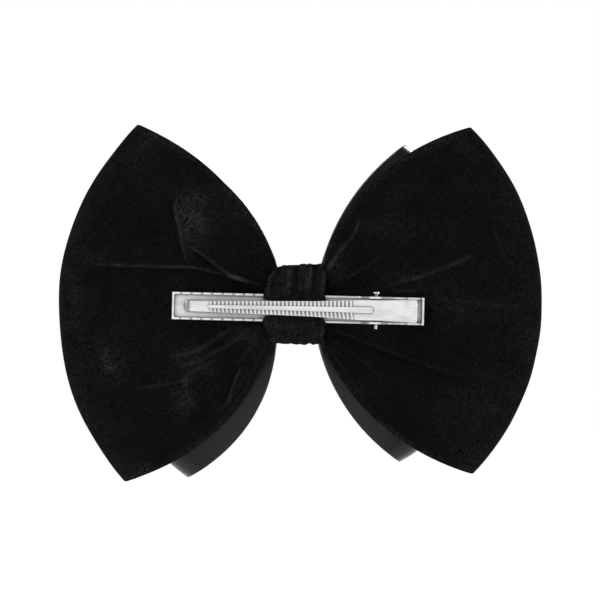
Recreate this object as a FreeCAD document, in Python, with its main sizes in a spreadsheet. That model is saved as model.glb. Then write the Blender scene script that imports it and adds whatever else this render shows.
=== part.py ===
"""A large two-tier hair bow on a metal alligator clip.

Frame, in millimetres: +X is the bow's width, +Z is up, and the clip's side faces -Y. The origin is the
middle of the clip base's gripping face. Two tiers of cloth loops stand in +Y from the clip: the velvet
rear tier lies on the clip, and the satin front tier lies on the rear tier. A velvet band wraps both
pinched middles and the clip's base together, and passes under the clip's lever, which turns on a pin
along Z.
"""
import FreeCAD, Part
import Sketcher
import math
import os

Vector = FreeCAD.Vector

# Shares of a part's own size, used for the rounding of its corners.
CORNER_SHARE = 0.8
LUG_CORNER_SHARE = 0.95
TOOTH_CORNER_SHARE = 0.2
# Shares of a loop's cloth, along its length, in the fold and in each flat panel.
FOLD_SHARE = 0.3
PANEL_SHARE = (1 - FOLD_SHARE) / 2

# Driving sizes. Lengths are in millimetres and angles in degrees.
SIZES = {
    # clip
    "clip_length": 79.6,
    "clip_width": 8.6,
    "clip_sheet": 0.6,
    "clip_tip_radius": 0.9,
    "flange_height": 0.9,
    "notch_radius": 1.9,
    "notch_depth": 0.25,
    "notch_pitch": 3.3,
    "notch_end_gap": 5.6,
    "rise_from_band": 0.4,
    "ear_foot": 9.6,
    "ear_radius": 1.9,
    "ear_slope_height": 3.5,
    "rear_flange_height": 1.1,
    "rear_wall_height": 3.4,
    "corner_round": 0.5,
    "rise_round": 6.0,
    "slope_round": 4.0,
    "ear_back_round": 2.0,
    "rear_wall_round": 0.3,
    "pin_from_rear": 15.2,
    "pin_height": 3.9,
    "pin_radius": 0.62,
    "pin_clearance": 0.04,
    "pin_overhang": 1.5,
    "pin_head_radius": 1.15,
    "pin_head_height": 0.5,
    # lever
    "lever_sheet": 0.7,
    "lever_drop": 1.25,
    "lever_tip_inset": 3.9,
    "lever_tip_width": 3.2,
    "lever_middle_width": 4.8,
    "lever_middle_place": 20.0,
    "lever_shoulder_place": 4.0,
    "lever_pin_width": 6.3,
    "lever_end_width": 7.2,
    "lever_free_tip": 1.6,
    "lever_tip_flick": 0.35,
    "lever_contact_gap": 0.06,
    "lever_bend_radius": 5.0,
    "handle_start": 1.0,
    "handle_length": 11.9,
    "handle_angle": 21.0,
    "handle_lip": 1.3,
    "lug_radius": 1.45,
    "lug_sheet": 0.6,
    "rib_width": 1.9,
    "rib_front_width": 0.95,
    "rib_height": 0.42,
    "rib_front_gap": 7.6,
    "rib_rear_gap": 0.8,
    "tooth_width": 0.62,
    "tooth_height": 0.3,
    "tooth_pitch": 1.27,
    "tooth_lean": 0.55,
    "tooth_front_gap": 8.0,
    "tooth_rear_gap": 8.0,
    # spring
    "spring_sheet": 0.3,
    "spring_width": 3.6,
    "spring_gap": 0.2,
    "spring_foot_length": 13.4,
    "spring_arm_length": 9.5,
    "spring_bend": 1.2,
    "spring_knee_drop": 0.15,
    "spring_knee_round": 0.3,
    "spring_arm_round": 0.5,
    # cloth
    "velvet_sheet": 1.2,
    "satin_sheet": 0.9,
    "lining_sheet": 0.6,
    "cloth_gap": 0.35,
    "lining_inset": 0.05,
    "pinch_centre": 1.3,
    "pinch_half_width": 8.5,
    "pinch_half_height": 11.1,
    "pinch_corner": 1.6,
    "loop_start_gap": 0.7,
    "loop_start_half_height": 10.3,
    "edge_depth_share": 0.8,
    # the rear tier's depth
    "rear_back": 1.5,
    "rear_pinch_depth": 9.2,
    "clip_to_fold_gap": 0.4,
    "rear_fold_radius": 7.0,
    # the front tier's depth
    "tier_gap": 0.4,
    "front_pinch_depth": 7.8,
    "fold_to_fold_gap": 0.35,
    "front_fold_radius": 7.4,
    # how far each loop reaches from the origin, and where its corners are
    "rear_left_reach": 75.6,
    "rear_left_top_reach": 76.8,
    "rear_left_low_reach": 77.0,
    "rear_left_top_angle": 47.3,
    "rear_left_low_angle": 46.2,
    "rear_right_reach": 77.0,
    "rear_right_top_reach": 79.0,
    "rear_right_low_reach": 76.0,
    "rear_right_top_angle": 47.6,
    "rear_right_low_angle": 41.8,
    "front_left_reach": 62.0,
    "front_left_top_reach": 57.2,
    "front_left_low_reach": 64.6,
    "front_left_top_angle": 53.5,
    "front_left_low_angle": 58.2,
    "front_right_reach": 62.0,
    "front_right_top_reach": 62.5,
    "front_right_low_reach": 58.7,
    "front_right_top_angle": 58.0,
    "front_right_low_angle": 54.9,
    # how far each loop's edges bow out from a straight line
    "rear_left_top_bulge": 13.6,
    "rear_left_low_bulge": 16.5,
    "rear_right_top_bulge": 17.5,
    "rear_right_low_bulge": 14.5,
    "front_left_top_bulge": 8.5,
    "front_left_low_bulge": 14.5,
    "front_right_top_bulge": 9.0,
    "front_right_low_bulge": 9.5,
    # band, thread and glue
    "band_width": 16.6,
    "band_sheet": 1.0,
    "band_gap": 0.1,
    "band_side_gap": 0.5,
    "band_corner": 1.5,
    "band_back_corner": 0.9,
    "thread_thickness": 0.55,
    "thread_turns": 5,
    "thread_groove": 0.8,
    "thread_line": 0.12,
    "thread_fit_gap": 0.02,
    "glue_width": 15.0,
    "glue_inset": 0.7,
}

doc = FreeCAD.newDocument("hair_bow")
sheet = doc.addObject("Spreadsheet::Sheet", "sizes")
for row, (name, value) in enumerate(SIZES.items(), start=1):
    sheet.set(f"A{row}", name)
    sheet.set(f"B{row}", str(value))
    sheet.setAlias(f"B{row}", name)
doc.recompute()


def size(name):
    """The value of one named cell of the sheet."""
    return float(sheet.get(name))


parts = []


# ---------------------------------------------------------------- outlines

def unit(vector):
    return vector * (1.0 / vector.Length)


def offset_polygon(points, distance, closed=True):
    """Move each corner of a polygon sideways, so that every side moves by distance to its right."""
    count = len(points)
    moved = []
    for i, point in enumerate(points):
        before = points[i - 1] if closed or i > 0 else None
        after = points[(i + 1) % count] if closed or i < count - 1 else None
        ways = []
        if before is not None:
            ways.append(unit(point - before))
        if after is not None:
            ways.append(unit(after - point))
        normals = [Vector(way.y, -way.x, 0) for way in ways]
        total = unit(normals[0] + normals[-1])
        moved.append(point + total * (distance / total.dot(normals[0])))
    return moved


def rounded_outline(points, radii):
    """Lines and tangent arcs round a closed polygon, one radius for each corner, 0 for a sharp one."""
    count = len(points)
    starts, ends, arcs = [], [], []
    for i, point in enumerate(points):
        before = unit(points[i - 1] - point)
        after = unit(points[(i + 1) % count] - point)
        radius = radii[i]
        if radius <= 0:
            starts.append(point)
            ends.append(point)
            arcs.append(None)
            continue
        half = before.getAngle(after) / 2
        cut = radius / math.tan(half)
        middle_way = unit(before + after)
        centre = point + middle_way * (radius / math.sin(half))
        starts.append(point + before * cut)
        ends.append(point + after * cut)
        arcs.append(centre - middle_way * radius)
    edges = []
    for i in range(count):
        if arcs[i] is not None:
            edges.append(Part.Arc(starts[i], arcs[i], ends[i]))
        following = (i + 1) % count
        if (starts[following] - ends[i]).Length > 1e-6:
            edges.append(Part.LineSegment(ends[i], starts[following]))
    return edges


def polygon(pairs):
    return [Vector(x, y, 0) for x, y in pairs]


def strip_polygon(points, thickness):
    """A strip of sheet of one thickness, to the right of a bent line."""
    other = offset_polygon(points, thickness, closed=False)
    return points + other[::-1]


def rectangle(x_low, x_high, y_low, y_high):
    return polygon([(x_low, y_low), (x_high, y_low), (x_high, y_high), (x_low, y_high)])


# ---------------------------------------------------------------- features

def new_body(name):
    body = doc.addObject("PartDesign::Body", name)
    body.Label = name
    parts.append(body)
    return body


def origin_plane(body, role):
    return next(part for part in body.Origin.OriginFeatures if part.Role == role)


def add_sketch(body, name, role, edges, offset=None):
    """A sketch of closed outlines on one of the body's own origin planes. offset is an expression."""
    sketch = body.newObject("Sketcher::SketchObject", name)
    sketch.AttachmentSupport = (origin_plane(body, role), [""])
    sketch.MapMode = "FlatFace"
    if offset is not None:
        sketch.setExpression("AttachmentOffset.Base.z", offset)
    sketch.addGeometry(edges, False)
    return sketch


def add_circle_sketch(body, name, role, centre, radius, offset=None):
    """A circle whose radius is held by a constraint tied to the sheet."""
    circle = Part.Circle(Vector(centre[0], centre[1], 0), Vector(0, 0, 1), 1.0)
    sketch = add_sketch(body, name, role, [circle], offset)
    index = sketch.addConstraint(Sketcher.Constraint("Radius", 0, 1.0))
    sketch.setExpression(f"Constraints[{index}]", radius)
    return sketch


def add_pad(body, name, sketch, length, symmetric=False, reverse=False):
    pad = body.newObject("PartDesign::Pad", name)
    pad.Profile = sketch
    pad.setExpression("Length", length)
    if symmetric:
        pad.SideType = "Symmetric"
    pad.Reversed = reverse
    doc.recompute()
    return pad


def add_pocket(body, name, sketch, length, symmetric=False, reverse=False):
    """Cut a sketch out of the body, and refuse a cut that takes nothing away."""
    before = body.Shape.Volume
    pocket = body.newObject("PartDesign::Pocket", name)
    pocket.Profile = sketch
    pocket.setExpression("Length", length)
    if symmetric:
        pocket.SideType = "Symmetric"
    pocket.Reversed = reverse
    doc.recompute()
    if body.Shape.Volume >= before:
        raise ValueError(f"{name} cuts nothing")
    return pocket


def add_row(body, name, features, axis_role, length, count):
    """Repeat features in a straight row along one of the body's own origin axes."""
    pattern = body.newObject("PartDesign::LinearPattern", name)
    pattern.Originals = features
    pattern.Direction = (origin_plane(body, axis_role), [""])
    pattern.setExpression("Length", length)
    pattern.setExpression("Occurrences", count)
    body.Tip = pattern
    doc.recompute()
    return pattern


# ---------------------------------------------------------------- clip base

def pin_place():
    """Where the hinge pin is along the clip, in X."""
    return size("clip_length") / 2 - size("pin_from_rear")


def lever_reach():
    """How far the lever's tip is from the pin."""
    return pin_place() + size("clip_length") / 2 - size("lever_tip_inset")


def make_clip_base():
    """A folded channel: floor, low scalloped flanges, ears for the pin and an upturned rear end."""
    body = new_body("clip_base")
    half = size("clip_length") / 2
    floor = size("clip_sheet")
    flange = -size("flange_height")
    pin_x = pin_place()
    rise = size("band_width") / 2 + size("rise_from_band")
    ear_top = -(size("pin_height") + size("ear_radius"))
    foot = size("ear_foot")
    rear_flange = -size("rear_flange_height")
    side = polygon([
        (-half, floor), (-half, flange), (rise, flange), (pin_x - foot / 2, -size("ear_slope_height")),
        (pin_x - size("ear_radius"), ear_top), (pin_x + size("ear_radius"), ear_top),
        (pin_x + foot, rear_flange), (half - 2 * floor, rear_flange),
        (half - floor, -size("rear_wall_height")), (half, -size("rear_wall_height")), (half, floor)])
    tip = size("clip_tip_radius")
    ear_round = size("ear_radius") * CORNER_SHARE
    radii = [0, 0, size("rise_round"), size("slope_round"), ear_round, ear_round,
             size("ear_back_round"), size("rear_wall_round"), 0, 0, tip]
    profile = add_sketch(body, "base_side", "XY_Plane", rounded_outline(side, radii))
    add_pad(body, "base_blank", profile, "sizes.clip_width", symmetric=True)

    wall = size("clip_sheet")
    inner = size("clip_width") / 2 - wall
    trough = add_sketch(body, "base_trough", "XZ_Plane",
                        rounded_outline(rectangle(-half + wall, half - wall, -inner, inner),
                                        [size("corner_round")] * 4))
    add_pocket(body, "base_hollow", trough, "sizes.pin_height + sizes.ear_radius + 1", reverse=True)

    low = -half + size("notch_pitch")
    notch_y = flange - size("notch_radius") + size("notch_depth")
    notch = add_circle_sketch(body, "base_notch", "XY_Plane", (low, notch_y), "sizes.notch_radius")
    cut = add_pocket(body, "base_notch_cut", notch, "sizes.clip_width + 1", symmetric=True)
    count = round((half + rise - size("notch_end_gap")) / size("notch_pitch"))
    add_row(body, "base_notches", [cut], "X_Axis", f"sizes.notch_pitch * {count - 1}", f"{count}")

    hole = add_circle_sketch(body, "base_pin_hole", "XY_Plane", (pin_x, -size("pin_height")),
                             "sizes.pin_radius + sizes.pin_clearance")
    add_pocket(body, "base_pin_cut", hole, "sizes.clip_width + 1", symmetric=True)
    return body


# ---------------------------------------------------------------- clip lever

def lever_tilt():
    """The lever's tilt about the pin that brings its tip down to the base, in degrees."""
    reach = lever_reach() - size("lever_free_tip")
    down = size("pin_height") - size("lever_contact_gap")
    drop = size("lever_drop")
    span = math.hypot(reach, drop)
    return -math.degrees(math.asin(down / span) + math.atan2(drop, reach))


def make_clip_lever():
    """A tapered arm with a raised middle rib, two rows of teeth, lugs on the pin and a bent handle.

    It is drawn flat about the pin, with the arm along -X, and is then turned down onto the base.
    """
    body = new_body("clip_lever")
    tilt = lever_tilt()
    tip = -lever_reach()
    inner = -size("lever_drop")
    sheet_thickness = size("lever_sheet")
    angle = math.radians(size("handle_angle"))
    start = size("handle_start")
    handle_x = start + size("handle_length") * math.cos(angle)
    handle_y = inner - size("handle_length") * math.sin(angle)
    lip_x = handle_x + size("handle_lip")
    line = polygon([
        (tip, inner - size("lever_tip_flick")), (tip + size("lever_free_tip"), inner), (start, inner),
        (handle_x, handle_y), (lip_x, handle_y)])
    outline = strip_polygon(line, sheet_thickness)
    side = add_sketch(body, "lever_side", "XY_Plane", rounded_outline(outline, [0.1] * len(outline)))
    add_pad(body, "lever_blank", side, "sizes.lever_end_width + 2", symmetric=True)

    lug = size("lug_radius")
    lug_top = inner - sheet_thickness / 2
    lug_round = lug * LUG_CORNER_SHARE
    lug_outline = polygon([(-lug, lug_top), (lug, lug_top), (lug, lug), (-lug, lug)])
    lug_side = add_sketch(body, "lever_lug_side", "XY_Plane",
                          rounded_outline(lug_outline, [0, 0, lug_round, lug_round]))
    add_pad(body, "lever_lug_block", lug_side, "sizes.lever_pin_width", symmetric=True)
    gap_outline = rectangle(-lug - 1, lug + 1, inner, lug + 1)
    lug_gap = add_sketch(body, "lever_lug_gap", "XY_Plane", rounded_outline(gap_outline, [0] * 4))
    add_pocket(body, "lever_lug_cut", lug_gap, "sizes.lever_pin_width - 2 * sizes.lug_sheet", symmetric=True)
    hole = add_circle_sketch(body, "lever_pin_hole", "XY_Plane", (0, 0),
                             "sizes.pin_radius + sizes.pin_clearance")
    add_pocket(body, "lever_pin_cut", hole, "sizes.lever_end_width + 2", symmetric=True)

    # the rib and the teeth start a little inside the sheet, so that they join it
    outer = "sizes.lever_drop + sizes.lever_sheet / 2"
    rib_half = size("rib_width") / 2
    front_half = size("rib_front_width") / 2
    rib_front = tip + size("rib_front_gap")
    rib_rear = -size("rib_rear_gap")
    rib_outline = polygon([(rib_front, -front_half), (rib_rear, -rib_half), (rib_rear, rib_half),
                           (rib_front, front_half)])
    front_round = front_half * CORNER_SHARE
    rear_round = rib_half * CORNER_SHARE
    rib = add_sketch(body, "lever_rib_plan", "XZ_Plane",
                     rounded_outline(rib_outline, [front_round, rear_round, rear_round, front_round]),
                     offset=outer)
    add_pad(body, "lever_rib", rib, "sizes.rib_height + sizes.lever_sheet / 2")

    # each tooth runs from under the rib past the lever's edge, and the plan trims it
    first = tip + size("tooth_front_gap")
    width = size("tooth_width")
    root = front_half * CORNER_SHARE
    outside = size("lever_pin_width") / 2
    tooth_round = width * TOOTH_CORNER_SHARE
    edges = []
    for way, lean in ((1, 0.0), (-1, size("tooth_lean"))):
        tooth = polygon([(first, way * root), (first + width, way * root),
                         (first + width + lean, way * outside), (first + lean, way * outside)])
        edges += rounded_outline(tooth, [tooth_round] * 4)
    teeth = add_sketch(body, "lever_tooth_plan", "XZ_Plane", edges, offset=outer)
    tooth_pad = add_pad(body, "lever_teeth_pair", teeth, "sizes.tooth_height + sizes.lever_sheet / 2")
    row = lever_reach() - size("tooth_front_gap") - size("tooth_rear_gap")
    count = int(row / size("tooth_pitch")) + 1
    add_row(body, "lever_teeth", [tooth_pad], "X_Axis", f"sizes.tooth_pitch * {count - 1}", f"{count}")

    tip_half = size("lever_tip_width") / 2
    middle_half = size("lever_middle_width") / 2
    pin_half = size("lever_pin_width") / 2
    end_half = size("lever_end_width") / 2
    middle_x = -size("lever_middle_place")
    shoulder_x = -size("lever_shoulder_place")
    plan = polygon([
        (tip, -tip_half), (middle_x, -middle_half), (shoulder_x, -pin_half), (2 * start, -pin_half),
        (lip_x, -end_half), (lip_x, end_half), (2 * start, pin_half), (shoulder_x, pin_half),
        (middle_x, middle_half), (tip, tip_half)])
    margin = end_half
    frame = rectangle(tip - margin, lip_x + margin, -end_half - margin, end_half + margin)
    edges = rounded_outline(frame, [0] * 4)
    corner = tip_half * CORNER_SHARE
    bend = size("lever_bend_radius")
    near_side = [corner, bend, bend, bend, corner / 2]
    edges += rounded_outline(plan, near_side + near_side[::-1])
    trim = add_sketch(body, "lever_plan", "XZ_Plane", edges)
    add_pocket(body, "lever_trim", trim, "2 * (sizes.handle_length + sizes.lever_drop)", symmetric=True)

    body.Placement = FreeCAD.Placement(Vector(pin_place(), -size("pin_height"), 0),
                                       FreeCAD.Rotation(Vector(0, 0, 1), tilt))
    body.setExpression("Placement.Base.x", "sizes.clip_length / 2 - sizes.pin_from_rear")
    body.setExpression("Placement.Base.y", "-sizes.pin_height")
    return body


# ---------------------------------------------------------------- pin and spring

def make_hinge_pin():
    """A pin through both ears, with a small head on its upper end."""
    body = new_body("hinge_pin")
    shaft = add_circle_sketch(body, "pin_circle", "XY_Plane", (0, 0), "sizes.pin_radius")
    add_pad(body, "pin_shaft", shaft, "sizes.clip_width + 2 * sizes.pin_overhang", symmetric=True)
    head = add_circle_sketch(body, "pin_head_circle", "XY_Plane", (0, 0), "sizes.pin_head_radius",
                             offset="sizes.clip_width / 2 + sizes.pin_overhang - sizes.pin_head_height")
    add_pad(body, "pin_head", head, "sizes.pin_head_height")
    body.setExpression("Placement.Base.x", "sizes.clip_length / 2 - sizes.pin_from_rear")
    body.setExpression("Placement.Base.y", "-sizes.pin_height")
    return body


def make_leaf_spring():
    """A bent strip in the rear of the clip: a foot on the floor, a bend round the pin, and an arm."""
    body = new_body("leaf_spring")
    strip = size("spring_sheet")
    gap = size("spring_gap")
    foot_y = -(strip + gap)
    front_x = pin_place() - size("pin_radius") - gap - strip
    tilt = math.radians(lever_tilt())
    slope = tilt - math.radians(size("handle_angle"))
    along = Vector(math.cos(slope), math.sin(slope), 0)
    inward = Vector(-along.y, along.x, 0)
    knee = Vector(math.cos(tilt), math.sin(tilt), 0)
    knee += Vector(size("lever_drop") * math.sin(tilt), -size("lever_drop") * math.cos(tilt), 0)
    knee += Vector(pin_place(), -size("pin_height"), 0) + inward * (strip + gap)
    line = [Vector(front_x + size("spring_foot_length"), foot_y, 0), Vector(front_x, foot_y, 0),
            Vector(front_x, knee.y + size("spring_knee_drop"), 0), knee,
            knee + along * size("spring_arm_length")]
    outline = strip_polygon(line, strip)
    bend = size("spring_bend")
    knee_round = size("spring_knee_round")
    arm_round = size("spring_arm_round")
    inner_radii = [0, bend, knee_round, arm_round, 0]
    outer_radii = [0, arm_round + strip, knee_round + strip, bend + strip, 0]
    side = add_sketch(body, "spring_side", "XY_Plane", rounded_outline(outline, inner_radii + outer_radii))
    add_pad(body, "spring_strip", side, "sizes.spring_width", symmetric=True)
    return body


# ---------------------------------------------------------------- pinched middles, thread, band and glue

def pinch_outline(back, depth, inset=0.0):
    """The rounded rectangle of a pinched middle, across the bow, in Y and Z."""
    centre = size("pinch_centre")
    half = size("pinch_half_height") - inset
    corners = rectangle(back + inset, back + depth - inset, centre - half, centre + half)
    return rounded_outline(corners, [size("pinch_corner")] * 4)


def make_pinch(name, back, depth):
    """The gathered middle of one tier, with a waist where the thread is wound."""
    body = new_body(name)
    outline = add_sketch(body, name + "_outline", "YZ_Plane", pinch_outline(back, depth))
    add_pad(body, name + "_block", outline, "2 * sizes.pinch_half_width", symmetric=True)
    groove = size("thread_groove")
    tall = 2 * size("pinch_half_height")
    around = rectangle(back - groove, back + depth + groove, -tall, tall)
    edges = rounded_outline(around, [0] * 4) + pinch_outline(back, depth, groove)
    waist = add_sketch(body, name + "_waist_outline", "YZ_Plane", edges)
    add_pocket(body, name + "_waist", waist, "(sizes.thread_turns + 1) * sizes.thread_thickness",
               symmetric=True)
    return body


def make_thread(name, back, depth):
    """Turns of thread wound side by side round a tier's waist."""
    body = new_body(name)
    inner = size("thread_groove") - size("thread_fit_gap")
    outer = inner - size("thread_thickness")
    edges = pinch_outline(back, depth, outer) + pinch_outline(back, depth, inner)
    ring = add_sketch(body, name + "_ring", "YZ_Plane", edges)
    add_pad(body, name + "_winding", ring, "sizes.thread_turns * sizes.thread_thickness", symmetric=True)
    edges = pinch_outline(back, depth, outer - size("thread_line"))
    edges += pinch_outline(back, depth, outer + size("thread_line"))
    first = "(1 - sizes.thread_turns / 2) * sizes.thread_thickness"
    line = add_sketch(body, name + "_line", "YZ_Plane", edges, offset=first)
    cut = add_pocket(body, name + "_line_cut", line, "sizes.thread_line", symmetric=True)
    add_row(body, name + "_lines", [cut], "X_Axis",
            "(sizes.thread_turns - 2) * sizes.thread_thickness", "sizes.thread_turns - 1")
    return body


def make_centre_band():
    """A closed ring of velvet round both middles and the clip's base, drawn in over the clip's flanges."""
    body = new_body("centre_band")
    centre = size("pinch_centre")
    gap = size("band_gap")
    high = centre + size("pinch_half_height") + size("band_side_gap")
    low = centre - size("pinch_half_height") - size("band_side_gap")
    clip_side = -(size("flange_height") + gap)
    clip_half = size("clip_width") / 2 + gap
    back = size("rear_back") - 3 * gap
    front = front_back() + size("front_pinch_depth") + gap
    inner = polygon([
        (clip_side, -clip_half), (back, low), (front, low),
        (front, high), (back, high), (clip_side, clip_half)])
    corner = size("band_corner")
    back_corner = size("band_back_corner")
    inner_radii = [corner, back_corner, corner, corner, back_corner, corner]
    sheet_thickness = size("band_sheet")
    outer = offset_polygon(inner[::-1], -sheet_thickness)[::-1]
    edges = rounded_outline(inner, inner_radii)
    edges += rounded_outline(outer, [radius + sheet_thickness for radius in inner_radii])
    ring = add_sketch(body, "band_ring", "YZ_Plane", edges)
    add_pad(body, "band_strip", ring, "sizes.band_width", symmetric=True)
    return body


def front_back():
    """Where the front tier's middle starts, in Y."""
    return size("rear_back") + size("rear_pinch_depth") + size("tier_gap")


def make_glue(name, y_low, y_high, half_height, middle):
    """A flat pad of set glue between two pieces; the last four arguments are expressions."""
    box = doc.addObject("Part::Box", name)
    box.Label = name
    box.setExpression("Length", "sizes.glue_width")
    box.setExpression("Width", f"{y_high} - ({y_low})")
    box.setExpression("Height", f"2 * ({half_height})")
    box.setExpression("Placement.Base.x", "-sizes.glue_width / 2")
    box.setExpression("Placement.Base.y", y_low)
    box.setExpression("Placement.Base.z", f"{middle} - ({half_height})")
    parts.append(box)
    return box


# ---------------------------------------------------------------- loops

def loop_start(side, across):
    """The pinched end of a loop's line, in X and Z. across runs from -1 at the low edge to 1 at the top."""
    x = side * (size("pinch_half_width") + size("loop_start_gap"))
    return Vector(x, 0, size("pinch_centre") + across * size("loop_start_half_height"))


def loop_reach(tier, side, across):
    """How far a loop's fold is from the origin on one of its lines."""
    key = f"{tier}_{'left' if side < 0 else 'right'}"
    middle = size(key + "_reach")
    top = size(key + "_top_reach")
    low = size(key + "_low_reach")
    return middle + across * (top - low) / 2 + across ** 2 * ((top + low) / 2 - middle)


def loop_end(tier, side, across):
    """The folded end of a loop's line, in X and Z."""
    key = f"{tier}_{'left' if side < 0 else 'right'}"
    top = size(key + "_top_angle")
    low = size(key + "_low_angle")
    angle = math.radians(across * (top + low) / 2 + across ** 2 * (top - low) / 2)
    reach = loop_reach(tier, side, across)
    return Vector(side * reach * math.cos(angle), 0, reach * math.sin(angle))


def loop_spot(tier, side, across, out):
    """A place on a loop seen from the front; out runs from 0 at the middle of the bow to 1 at the fold."""
    start = loop_start(side, across)
    end = loop_end(tier, side, across)
    way = end - start
    normal = unit(Vector(-side * way.z, 0, side * way.x))
    key = f"{tier}_{'left' if side < 0 else 'right'}"
    top = size(key + "_top_bulge")
    low = size(key + "_low_bulge")
    bulge = across * (top + low) / 2 + across ** 2 * (top - low) / 2
    control = (start + end) * 0.5 + normal * bulge
    return start * (1 - out) ** 2 + control * (2 * out * (1 - out)) + end * out ** 2


def fold_centre(tier):
    """The Y of a tier's fold. The rear tier stands on the clip's base, and the front tier on the rear."""
    half = size("velvet_sheet") / 2
    rear = size("clip_sheet") + size("clip_to_fold_gap") + half + size("rear_fold_radius")
    if tier == "rear":
        return rear
    top = rear + size("rear_fold_radius") + half + size("fold_to_fold_gap")
    return top + size("satin_sheet") / 2 + size("front_fold_radius")


def tier_depths(tier):
    """The Y of a tier's pinched middle and fold, and their half depths at the middle of the cloth."""
    if tier == "rear":
        pinch_back = size("rear_back")
    else:
        pinch_back = front_back()
    pinch_depth = size(tier + "_pinch_depth")
    cloth = size(cloth_name(tier))
    pinch_half = pinch_depth / 2 - cloth / 2
    return pinch_back + pinch_depth / 2, pinch_half, fold_centre(tier), size(tier + "_fold_radius")


def cloth_name(tier):
    return "velvet_sheet" if tier == "rear" else "satin_sheet"


def loop_middle_point(tier, side, across, along):
    """A point in the middle of a loop's cloth; along runs from 0 at its back end to 1 at its front end."""
    pinch_y, pinch_half, fold_y, fold_radius = tier_depths(tier)
    radius = fold_radius * (1 - (1 - size("edge_depth_share")) * across ** 2)
    reach = loop_reach(tier, side, across)
    turn = radius / reach
    if along < PANEL_SHARE or along > 1 - PANEL_SHARE:
        back = along < PANEL_SHARE
        share = along / PANEL_SHARE if back else (1 - along) / PANEL_SHARE
        out = share * (1 - turn)
        swell = share * (2 - share)
        middle = pinch_y + (fold_y - pinch_y) * swell
        half = pinch_half + (radius - pinch_half) * swell
        y = middle - half if back else middle + half
    else:
        angle = math.pi * ((along - PANEL_SHARE) / FOLD_SHARE - 0.5)
        out = 1 - turn + turn * math.cos(angle)
        y = fold_y + radius * math.sin(angle)
    spot = loop_spot(tier, side, across, out)
    return Vector(spot.x, y, spot.z)


def loop_point(tier, side, across, along, depth):
    """A point depth outside the middle of a loop's cloth, or inside it where depth is negative."""
    step = 0.002
    low = max(along - step, 0.0)
    high = min(along + step, 1.0)
    down = loop_middle_point(tier, side, across - step, along)
    up = loop_middle_point(tier, side, across + step, along)
    before = loop_middle_point(tier, side, across, low)
    after = loop_middle_point(tier, side, across, high)
    normal = unit((up - down).cross(after - before)) * side
    return loop_middle_point(tier, side, across, along) - normal * depth


def loop_surface(tier, side, depth, reach_across, start_along):
    """A smooth surface through points of a loop, at one depth. Every such surface has the same knots."""
    ends = 5
    fold = 7
    shares = [PANEL_SHARE * i / ends for i in range(ends)]
    shares += [PANEL_SHARE + FOLD_SHARE * i / (fold - 1) for i in range(fold)]
    shares += [1 - share for share in shares[:ends][::-1]]
    alongs = [start_along + (1 - 2 * start_along) * share for share in shares]
    rows = 9
    acrosses = [reach_across * (2 * i / (rows - 1) - 1) for i in range(rows)]
    lines = [curve_through([loop_point(tier, side, across, along, depth) for across in acrosses])
             for along in alongs]
    columns = [curve_through(list(column)) for column in zip(*(line.getPoles() for line in lines))]
    poles = [list(row) for row in zip(*(column.getPoles() for column in columns))]
    surface = Part.BSplineSurface()
    surface.buildFromPolesMultsKnots(
        poles, columns[0].getMultiplicities(), lines[0].getMultiplicities(), columns[0].getKnots(),
        lines[0].getKnots(), False, False, columns[0].Degree, lines[0].Degree)
    return surface


def curve_through(points):
    """A smooth curve through points, which it reaches at evenly spaced values."""
    curve = Part.BSplineCurve()
    curve.interpolate(Points=points, Parameters=[i / (len(points) - 1) for i in range(len(points))])
    return curve


def edge_curves(surface):
    """The four border curves of a surface."""
    u_low, u_high, v_low, v_high = surface.bounds()
    return [surface.uIso(u_low), surface.uIso(u_high), surface.vIso(v_low), surface.vIso(v_high)]


def straight_face(curve, other):
    """The face swept by straight lines between two curves that share their knots."""
    surface = Part.BSplineSurface()
    surface.buildFromPolesMultsKnots(
        [curve.getPoles(), other.getPoles()], [2, 2], curve.getMultiplicities(), [0, 1], curve.getKnots(),
        False, False, 1, curve.Degree)
    return surface.toShape()


def cloth_solid(outer, inner):
    """The closed solid between two surfaces of the same layout."""
    faces = [outer.toShape(), inner.toShape()]
    for outer_edge, inner_edge in zip(edge_curves(outer), edge_curves(inner)):
        faces.append(straight_face(outer_edge, inner_edge))
    shell = Part.Shell(faces)
    shell.sewShape()
    solid = Part.Solid(shell)
    if solid.Volume < 0:
        solid.reverse()
    return solid


def make_sheet_part(name, shape):
    feature = doc.addObject("Part::Feature", name)
    feature.Label = name
    feature.Shape = shape
    feature.Placement = FreeCAD.Placement()
    parts.append(feature)
    return feature


def make_loop(tier, side):
    """One loop of a tier: a sheet from the middle, out, round the fold and back, open at top and bottom."""
    half = size(cloth_name(tier)) / 2
    outer = loop_surface(tier, side, half, 1.0, 0.0)
    inner = loop_surface(tier, side, -half, 1.0, 0.0)
    way = "left" if side < 0 else "right"
    return make_sheet_part(f"{tier}_loop_{way}", cloth_solid(outer, inner))


def make_lining(tier, side):
    """The stiff lining inside one loop, a little smaller than the cloth all round."""
    inset = size("lining_inset")
    face = -(size(cloth_name(tier)) / 2 + size("cloth_gap"))
    outer = loop_surface(tier, side, face, 1 - inset, inset)
    inner = loop_surface(tier, side, face - size("lining_sheet"), 1 - inset, inset)
    way = "left" if side < 0 else "right"
    return make_sheet_part(f"{tier}_lining_{way}", cloth_solid(outer, inner))


# ---------------------------------------------------------------- the bow

def check_document():
    """Stop if any object of the document failed, or any part is empty or not valid."""
    for item in doc.Objects:
        for state in item.State:
            if state in ("Invalid", "Error"):
                raise ValueError(f"{item.Name} is {state}")
    for part in parts:
        if part.Shape.isNull() or not part.Shape.isValid() or part.Shape.Volume <= 0:
            raise ValueError(f"{part.Label} has no valid solid")


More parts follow.
